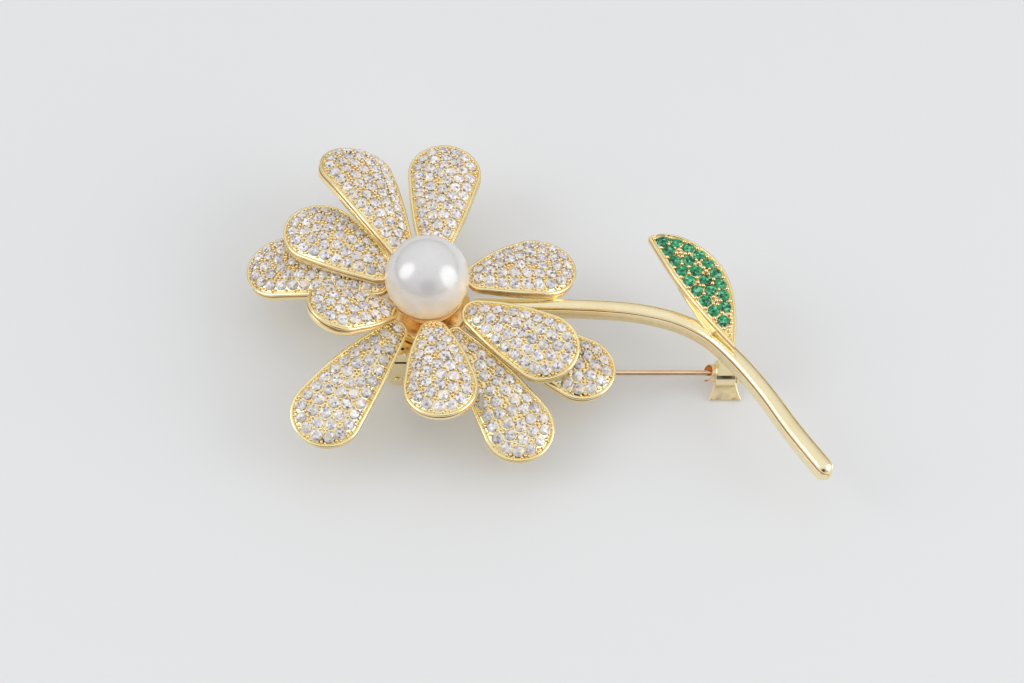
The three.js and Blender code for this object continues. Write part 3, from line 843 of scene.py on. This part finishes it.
def rivet_body(pin):
    reach = KNUCKLE["width"] / 2 + RUNNING_GAP + EAR["thickness"] + 0.03
    head = [(0.55, 0), (0.53, 0.1), (0.42, 0.18), (0.2, 0.22), (0, 0.22)]
    far = [(radius, reach + height) for radius, height in head]
    near = [(radius, -reach - height) for radius, height in reversed(head)]
    profile = [*near, (RIVET_RADIUS, -reach), (RIVET_RADIUS, reach), *far]
    return moved(along_y(turned(profile, 48)), pin)


def needle_body(pin, tip_x):
    start = pin[0] + 0.5
    length = tip_x - start
    taper = 4.0
    profile = [(0, 0), (NEEDLE_RADIUS * 0.9, 0), (NEEDLE_RADIUS, 0.05)]
    profile += [(NEEDLE_RADIUS, d) for d in np.linspace(0.6, length - taper, 30)]
    profile += [
        (NEEDLE_RADIUS * math.cos(part * math.pi / 2) ** 0.8, length - taper + taper * part)
        for part in (0.15, 0.3, 0.45, 0.6, 0.72, 0.82, 0.9, 0.95, 0.98)
    ]
    profile.append((0, length))
    wire = moved(along_x(turned(profile, 32)), (start, pin[1], pin[2]))
    half = KNUCKLE["width"] / 2
    eye = prism(circle(KNUCKLE["radius"]), -half, half, circle(RIVET_RADIUS + RUNNING_GAP))
    return joined(wire, standing(bevelled(eye, 0.08), pin))


def c_outline(outer, inner, gap_half_angle, count=40):
    """A ring that is open downwards, as an outline in YZ."""
    angles = np.radians(np.linspace(-90 + gap_half_angle, 270 - gap_half_angle, count))
    out = [(outer * math.cos(a), outer * math.sin(a)) for a in angles]
    back = [(inner * math.cos(a), inner * math.sin(a)) for a in reversed(angles)]
    return out + back


def yz_prism(outline, start, end):
    verts, faces = prism(outline, start, end)
    return verts[:, [2, 0, 1]], faces


def catch_ring_body(catch, start, end):
    outline = c_outline(CATCH["ring"], CATCH["tube"] + RUNNING_GAP, CATCH["opening"])
    ring = moved(bevelled(yz_prism(outline, start, end), 0.08), (0, catch[1], catch[2]))
    bottom = catch[2] + CATCH["tube"] + RUNNING_GAP + 0.15
    post = block(
        (start + 0.2, catch[1] - 1.3, bottom),
        (end - 0.2, catch[1] + 0.6, STEM_BACK - CUP["gap"]),
        0.1,
    )
    return joined(ring, post)


def sleeve_tube(catch, start, end):
    """A slotted tube: a slanted, hollowed mouth before the ring, a collar behind it, the slot below."""
    collar, gap, width = 1.22, 0.08, 0.3
    tube, bore = CATCH["tube"], CATCH["bore"]
    mouth = start - gap - 1.35
    shoulder = end + gap - mouth
    outer_line = [
        (0.0, tube - 0.07), (0.03, tube - 0.02), (0.09, tube), (0.5, tube), (1.3, tube),
        (shoulder - 0.02, tube),
        (shoulder, collar - 0.06), (shoulder + 0.06, collar), (shoulder + width - 0.06, collar),
        (shoulder + width, collar - 0.08),
    ]
    slot = bore * 0.9
    count = 40
    verts = []
    for distance, radius in outer_line:
        inner = bore + (tube * 0.86 - bore) * min(max(1 - (distance - 0.4) / 1.1, 0), 1)
        for level in (radius, inner):
            opening = math.asin(slot / level)
            angles = np.linspace(-math.pi / 2 + opening, 1.5 * math.pi - opening, count)
            angles = angles if level == radius else angles[::-1]
            for a in angles:
                y, z = level * math.cos(a), level * math.sin(a)
                slant = 0.55 + 0.5 * z - 0.13 * y
                shift = max(slant, 0) * max(1 - distance / 1.35, 0)
                verts.append((mouth + distance + shift, y, z))
    loops = [list(range(i * 2 * count, (i + 1) * 2 * count)) for i in range(len(outer_line))]
    faces = [face for first, second in zip(loops, loops[1:]) for face in bridge(first, second)]
    for loop in (loops[0], loops[-1]):
        for k in range(count - 1):
            faces.append([loop[k], loop[k + 1], loop[2 * count - 2 - k], loop[2 * count - 1 - k]])
    return moved((np.array(verts), faces), (0, catch[1], catch[2]))


def lever_body(catch, start, end):
    """A flared thumb tab with hollowed sides."""
    inner = CATCH["tube"] * 0.88
    outer = CATCH["tube"] + LEVER["length"]
    parts = np.linspace(0, 1, 14)
    flare = LEVER["root"] / 2 + (LEVER["outer"] - LEVER["root"]) / 2 * parts**1.8
    right = [(f, inner + (outer - inner) * p) for f, p in zip(flare, parts)]
    outline = right + [(-x, y) for x, y in reversed(right)]
    verts, faces = bevelled(prism(outline, -LEVER["thickness"] / 2, LEVER["thickness"] / 2), 0.13)
    angle = math.radians(180 + LEVER["angle"])
    y = verts[:, 1] * math.cos(angle) - verts[:, 2] * math.sin(angle)
    z = verts[:, 1] * math.sin(angle) + verts[:, 2] * math.cos(angle)
    placed = np.stack([verts[:, 0] + (start + end) / 2, y + catch[1], z + catch[2]], axis=1)
    return placed, faces


# ---- materials ----
class Shader:
    """A material's node tree, with a short way to add nodes."""

    def __init__(self, name):
        self.material = bpy.data.materials.new(name)
        self.material.use_nodes = True
        self.tree = self.material.node_tree
        self.surface = self.tree.nodes["Principled BSDF"]

    def add(self, kind, **values):
        node = self.tree.nodes.new(kind)
        for key, value in values.items():
            setattr(node, key, value)
        return node

    def link(self, source, target):
        self.tree.links.new(source, target)

    def set(self, **values):
        for key, value in values.items():
            self.surface.inputs[key.replace("_", " ")].default_value = value

    def noise(self, scale, detail=3.0):
        place = self.add("ShaderNodeTexCoord")
        node = self.add("ShaderNodeTexNoise")
        node.inputs["Scale"].default_value = scale
        node.inputs["Detail"].default_value = detail
        self.link(place.outputs["Object"], node.inputs["Vector"])
        return node.outputs["Fac"]

    def spread(self, source, low, high):
        node = self.add("ShaderNodeMapRange")
        node.inputs["From Min"].default_value = 0.3
        node.inputs["From Max"].default_value = 0.7
        node.inputs["To Min"].default_value = low
        node.inputs["To Max"].default_value = high
        self.link(source, node.inputs["Value"])
        return node.outputs["Result"]

    def mixed(self, factor, first, second):
        """A blend of two colours, each one given or made by another node."""
        node = self.add("ShaderNodeMix", data_type="RGBA")
        self.link(factor, node.inputs["Factor"])
        for key, colour in (("A", first), ("B", second)):
            if isinstance(colour, tuple):
                node.inputs[key].default_value = (*colour, 1)
            else:
                self.link(colour, node.inputs[key])
        return node.outputs["Result"]

    def bump(self, source, strength, distance):
        node = self.add("ShaderNodeBump")
        node.inputs["Strength"].default_value = strength
        node.inputs["Distance"].default_value = distance
        self.link(source, node.inputs["Height"])
        return node.outputs["Normal"]


def metal(name, pale, deep, roughness, waviness):
    """Polished metal with uneven polish, a slightly wavy skin and fine wear."""
    shader = Shader(name)
    shader.set(Metallic=1.0)
    tint = shader.spread(shader.noise(320), 0.0, 1.0)
    shader.link(shader.mixed(tint, pale, deep), shader.surface.inputs["Base Color"])
    gloss = shader.spread(shader.noise(1400, 5.0), roughness * 0.7, roughness * 1.4)
    shader.link(gloss, shader.surface.inputs["Roughness"])
    shader.link(shader.bump(shader.noise(900, 2.0), waviness, 0.00005), shader.surface.inputs["Normal"])
    return shader.material


def stone_material(name, body_colour, ior):
    """Cut stone: facet colours that mix the stone's body colour with painted highlights and reflections,
    under a hard glossy skin.
    """
    shader = Shader(name)
    shader.set(Roughness=0.04, IOR=ior)
    # Painted light: the facet colours carry painted highlights and reflections.
    tone_and_glint = shader.add("ShaderNodeAttribute", attribute_name="tone_and_glint")
    share = shader.spread(shader.noise(700), 0.0, 0.25)
    colour = shader.mixed(share, tone_and_glint.outputs["Color"], body_colour)
    shader.link(colour, shader.surface.inputs["Base Color"])
    return shader.material


PEARL_PAINTED_GLOW = 0.17  # painted light: a warm glow on the pearl's lower half, standing in for the light the gold throws back onto it


def pearl_material():
    """Nacre: a soft sheen over a faintly mottled body; its lower half is painted brighter and warmer, with a
    painted glow, for the gold's reflected light.
    """
    shader = Shader("pearl_nacre")
    shader.set(IOR=1.8, Coat_Weight=1.0, Coat_Roughness=0.2, Coat_IOR=2.0)
    shader.set(Subsurface_Weight=0.15, Subsurface_Radius=(0.0012, 0.0009, 0.0007), Subsurface_Scale=1.0)
    place = shader.add("ShaderNodeTexCoord")
    split = shader.add("ShaderNodeSeparateXYZ")
    shader.link(place.outputs["Object"], split.inputs["Vector"])
    low = shader.add("ShaderNodeMapRange")
    middle = (FLOWER_ORIGIN[2] + PEARL_HEIGHT) * MM
    low.inputs["From Min"].default_value = middle - PEARL_RADIUS * MM * 0.35
    low.inputs["From Max"].default_value = middle + PEARL_RADIUS * MM * 0.62
    shader.link(split.outputs["Z"], low.inputs["Value"])
    mottle = shader.spread(shader.noise(180, 4.0), 0.0, 1.0)
    top = shader.mixed(mottle, (0.71, 0.70, 0.695), (0.67, 0.66, 0.66))
    # Painted reflection: the brighter, warmer lower colour stands in for the gold's light thrown back on the
    # pearl.
    bottom = shader.mixed(mottle, (1.0, 0.82, 0.58), (0.97, 0.79, 0.55))
    height = low.outputs["Result"]
    shader.link(shader.mixed(height, bottom, top), shader.surface.inputs["Base Color"])
    # Painted light: a warm glow on the lower half, for the gold's reflected light.
    glow = shader.mixed(height, (1.0, 0.8, 0.55), (0.0, 0.0, 0.0))
    shader.link(glow, shader.surface.inputs["Emission Color"])
    shader.set(Emission_Strength=PEARL_PAINTED_GLOW)
    shader.link(shader.spread(shader.noise(600), 0.26, 0.34), shader.surface.inputs["Roughness"])
    shader.link(shader.bump(shader.noise(500, 2.0), 0.05, 0.00005), shader.surface.inputs["Normal"])
    return shader.material


def plain_material(name, colour, roughness, glow):
    """A plain matt surface with a faint glow."""
    shader = Shader(name)
    shader.set(Base_Color=(*colour, 1), Roughness=roughness)
    shader.set(Emission_Color=(*colour, 1), Emission_Strength=glow)
    return shader.material


# ---- the brooch ----
GOLD_PALE = (1.0, 0.89, 0.56)
GOLD_DEEP = (0.98, 0.82, 0.44)
gold = metal("polished_gold", GOLD_PALE, GOLD_DEEP, 0.16, 0.1)
bead_gold = metal("bead_gold", (1.0, 0.84, 0.52), (0.95, 0.70, 0.36), 0.1, 0.05)
smooth_gold = metal("smooth_gold", (1.0, 0.88, 0.58), (0.98, 0.83, 0.50), 0.2, 0.03)
satin_gold = metal("satin_gold", (1.0, 0.86, 0.58), (0.98, 0.82, 0.50), 0.5, 0.02)
# Painted shade: dark brown-orange for the shade in the petals' grooves and along the bars' front lines.
groove_painted_shade = metal("groove_painted_shade", (0.62, 0.34, 0.13), (0.5, 0.25, 0.09), 0.4, 0.02)
# Painted shade: a deep orange for the shaded inside of the sleeve's tube; its higher roughness is the bore's
# real unpolished finish.
bore_gold_painted_shade = metal("bore_gold_painted_shade", (0.82, 0.36, 0.12), (0.72, 0.28, 0.08), 0.4, 0.02)
# Painted shade: a warmer, deeper gold for the hub and cup, standing in for the shade and gold reflections
# under the pearl and petals.
warm_gold_painted_shade = metal("warm_gold_painted_shade", (0.97, 0.71, 0.38), (0.93, 0.63, 0.30), 0.24, 0.1)
copper_gold = metal("copper_gold", (0.96, 0.71, 0.48), (0.91, 0.63, 0.40), 0.2, 0.03)
clear_stone = stone_material("clear_stone", (0.7, 0.69, 0.74), 1.95)
green_stone = stone_material("green_stone", (0.0, 0.14, 0.05), 1.58)


def build_flower():
    counts = {"lower": 0, "upper": 0}
    for number, petal in enumerate(PETALS):
        counts[petal["tier"]] += 1
        name = f"{petal['tier']}_petal_{counts[petal['tier']]}"
        rng = np.random.default_rng(100 + number)
        blade_pieces(
            name, Petal(**petal), CLEAR_SETTING, CLEAR_TONES_AND_GLINTS, clear_stone, gold, rng
        )
    rng = np.random.default_rng(7)
    blade_pieces("leaf", Leaf(**LEAF), GREEN_SETTING, GREEN_TONES_AND_GLINTS, green_stone, gold, rng)


def build_middle():
    verts, faces = pearl_body()
    place_mesh("pearl_bead", verts, faces, "brooch", "pearl", pearl_material())
    verts, faces = cup_body()
    place_mesh("pearl_cup_metal", verts, faces, "brooch", "pearl_cup", warm_gold_painted_shade)
    verts, faces = hub_body()
    place_mesh("hub_metal", verts, faces, "brooch", "hub", warm_gold_painted_shade)
    for node, size in (("stem", STEM), ("leaf_stalk", LEAF_STALK)):
        verts, faces = bar(**size)
        piece = place_mesh(node + "_metal", verts, faces, "brooch", node, smooth_gold, 30)
        strip = np.arange(len(piece.data.polygons)) % BAR_POINTS
        # Painted shade: the line along the bar's front is coloured dark.
        add_finish_or_painted_shade(piece, np.isin(strip, FRONT_LINE), groove_painted_shade)


def colour_bore(sleeve, catch):
    """The inside of the sleeve's tube is unpolished, and painted a deeper orange for the shade inside it."""
    centres = np.array([face.center[:] for face in sleeve.data.polygons]) / MM - FLOWER_ORIGIN - catch
    inside = np.hypot(centres[:, 1], centres[:, 2]) < 0.9 * CATCH["tube"]
    add_finish_or_painted_shade(sleeve, inside, bore_gold_painted_shade)


def build_pin():
    pin = joint_point("pin_swing")
    catch = joint_point("catch_roll")
    start, end = (corner[0] for corner in local_box("catch_ring"))
    tip = local_box("pin_needle")[1][0]
    pieces = (
        ("hinge_bracket", hinge_body(pin), "brooch", "gold", smooth_gold),
        ("hinge_rivet", rivet_body(pin), "brooch", "gold", smooth_gold),
        ("pin_needle", needle_body(pin, tip), "pin", "copper_gold", copper_gold),
        ("catch_ring", catch_ring_body(catch, start, end), "brooch", "gold", smooth_gold),
        ("catch_sleeve", joined(sleeve_tube(catch, start, end), lever_body(catch, start, end)),
         "sleeve", "gold", satin_gold),
    )
    placed = {
        node: place_mesh(node + "_metal", verts, faces, body, node, material, 35)
        for node, (verts, faces), body, slot, material in pieces
    }
    colour_bore(placed["catch_sleeve"], catch)


# ---- floor, lights and camera ----
HORIZON = (0.12, 0.08, 0.05)  # the room behind the lights, a dark band along the metal's edges
SKY_LOW = (0.64, 0.63, 0.62)
SKY_HIGH = (0.9, 0.91, 0.93)
DARK_SIDE = (0.07, -0.905, 0.42)  # where the room in front of the table is darker
DARK_ROOM = (0.02, 0.02, 0.02)
FLOOR_GLOW = 0.16  # keeps the shadows on the floor pale
LENS = 100
SENSOR_WIDTH = 36
CAMERA_ELEVATION = math.radians(55)
CAMERA_DISTANCE = 338.6
CAMERA_AIM = (10.0, -4.05, -7.43)  # the point that the camera looks at, from the pearl's centre


def aimed(thing, target):
    direction = Vector(target) - thing.location
    thing.rotation_euler = direction.to_track_quat("-Z", "Y").to_euler()


def soft_light(name, offset, width, height, power, target):
    data = bpy.data.lights.new(name, "AREA")
    data.shape = "ELLIPSE"
    data.size = width
    data.size_y = height
    data.energy = power
    light = bpy.data.objects.new(name, data)
    bpy.context.scene.collection.objects.link(light)
    light.location = Vector(target) + Vector(offset)
    aimed(light, target)


def build_floor():
    mesh = bpy.data.meshes.new("floor")
    size = 3.0
    corners = [(-size, -size, 0), (size, -size, 0), (size, size, 0), (-size, size, 0)]
    mesh.from_pydata(corners, [], [[0, 1, 2, 3]])
    mesh.materials.append(plain_material("pale_floor", (0.66, 0.665, 0.67), 0.6, FLOOR_GLOW))
    floor = bpy.data.objects.new("floor", mesh)
    bpy.context.scene.collection.objects.link(floor)


def build_world():
    """A pale sky over a dark horizon, with one darker patch in front of the table."""
    world = bpy.data.worlds.new("studio")
    bpy.context.scene.world = world
    world.use_nodes = True
    tree = world.node_tree
    place = tree.nodes.new("ShaderNodeTexCoord")
    split = tree.nodes.new("ShaderNodeSeparateXYZ")
    sky = tree.nodes.new("ShaderNodeValToRGB")
    sky.color_ramp.elements[0].color = (*HORIZON, 1)
    sky.color_ramp.elements[1].color = (*SKY_HIGH, 1)
    for height, colour in ((0.1, HORIZON), (0.19, SKY_LOW)):
        sky.color_ramp.elements.new(height).color = (*colour, 1)
    tree.links.new(place.outputs["Generated"], split.inputs["Vector"])
    tree.links.new(split.outputs["Z"], sky.inputs["Fac"])
    towards = tree.nodes.new("ShaderNodeVectorMath")
    towards.operation = "DOT_PRODUCT"
    towards.inputs[1].default_value = DARK_SIDE
    tree.links.new(place.outputs["Generated"], towards.inputs[0])
    edge = tree.nodes.new("ShaderNodeMapRange")
    edge.interpolation_type = "SMOOTHSTEP"
    edge.inputs["From Min"].default_value = 0.88
    edge.inputs["From Max"].default_value = 0.975
    tree.links.new(towards.outputs["Value"], edge.inputs["Value"])
    room = tree.nodes.new("ShaderNodeMix")
    room.data_type = "RGBA"
    room.inputs["B"].default_value = (*DARK_ROOM, 1)
    tree.links.new(edge.outputs["Result"], room.inputs["Factor"])
    tree.links.new(sky.outputs["Color"], room.inputs["A"])
    tree.links.new(room.outputs["Result"], tree.nodes["Background"].inputs["Color"])


def build_lights():
    bpy.context.scene.view_settings.view_transform = "Standard"
    pearl = Vector((FLOWER_ORIGIN + UP * PEARL_HEIGHT) * MM)
    soft_light("left_box", (-0.47, -0.06, 0.33), 0.36, 0.5, 0.85, pearl)
    soft_light("right_box", (0.5, -0.13, 0.2), 0.5, 0.58, 1.35, pearl)


def build_camera():
    """A long lens that looks down on the flower from the front."""
    data = bpy.data.cameras.new("camera")
    data.lens = LENS
    data.sensor_width = SENSOR_WIDTH
    camera = bpy.data.objects.new("camera", data)
    bpy.context.scene.collection.objects.link(camera)
    target = FLOWER_ORIGIN + UP * PEARL_HEIGHT + np.array(CAMERA_AIM)
    direction = np.array([0, -math.cos(CAMERA_ELEVATION), math.sin(CAMERA_ELEVATION)])
    camera.location = Vector((target + CAMERA_DISTANCE * direction) * MM)
    aimed(camera, Vector(target * MM))
    bpy.context.scene.camera = camera


build_flower()
build_middle()
build_pin()
build_floor()
build_world()
build_lights()
build_camera()
